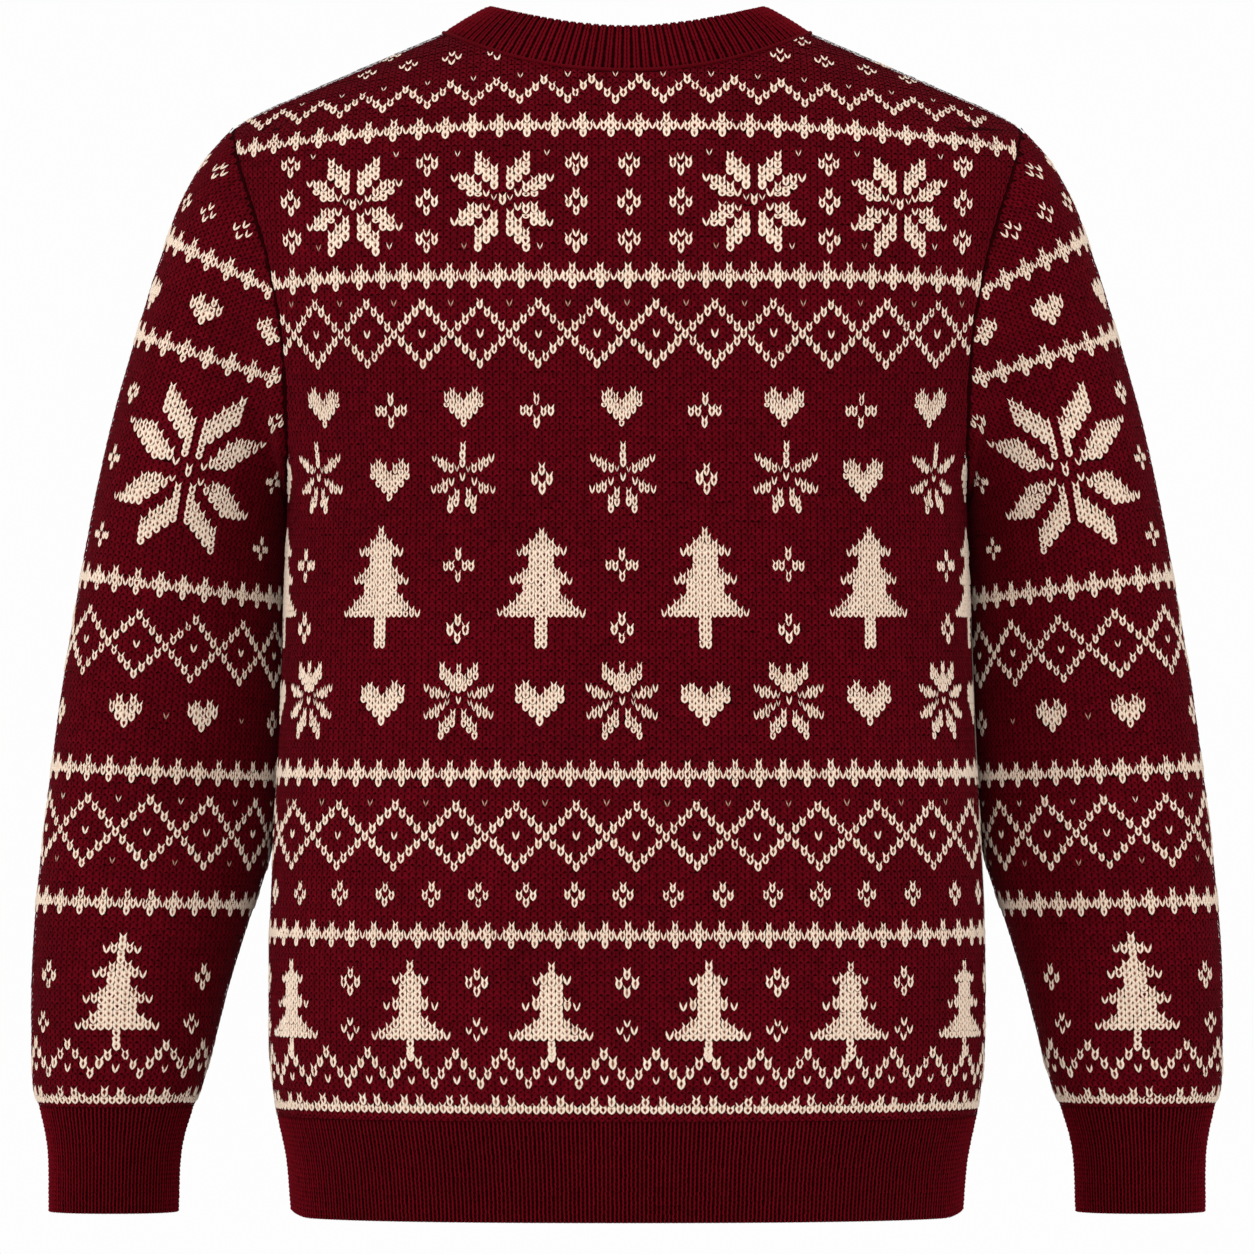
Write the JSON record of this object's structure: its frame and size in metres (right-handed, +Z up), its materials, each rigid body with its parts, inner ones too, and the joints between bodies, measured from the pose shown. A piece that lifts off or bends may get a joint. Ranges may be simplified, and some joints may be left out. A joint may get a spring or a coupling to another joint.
{
  "type": "crew-neck stranded-knit sweater",
  "caption": "Crew-neck knitted winter jumper, hollow and filled out as worn, with set-in sleeves, ribbed neckband, hem and cuffs, and cream motif bands on burgundy.",
  "frame": {"origin": "midway between the two high points of the shoulders, where the neckband meets the shoulder seams", "axes": "+Z up, +Y the wearer's front, +X the wearer's right; the back panel faces -Y"},
  "size_m": [0.689, 0.2512, 0.6973],
  "materials": {
    "colourwork_knit": "soft matt wool in stocking stitch, burgundy with bands of small cream motifs",
    "rib_knit": "soft matt wool in narrow vertical rib, burgundy"
  },
  "bodies": {
    "root": {"back_panel": "colourwork_knit", "front_panel": "colourwork_knit", "sleeve_left": "colourwork_knit", "sleeve_right": "colourwork_knit", "neckband": "rib_knit", "hem_band": "rib_knit", "cuff_left": "rib_knit", "cuff_right": "rib_knit"}
  },
  "joints": []
}
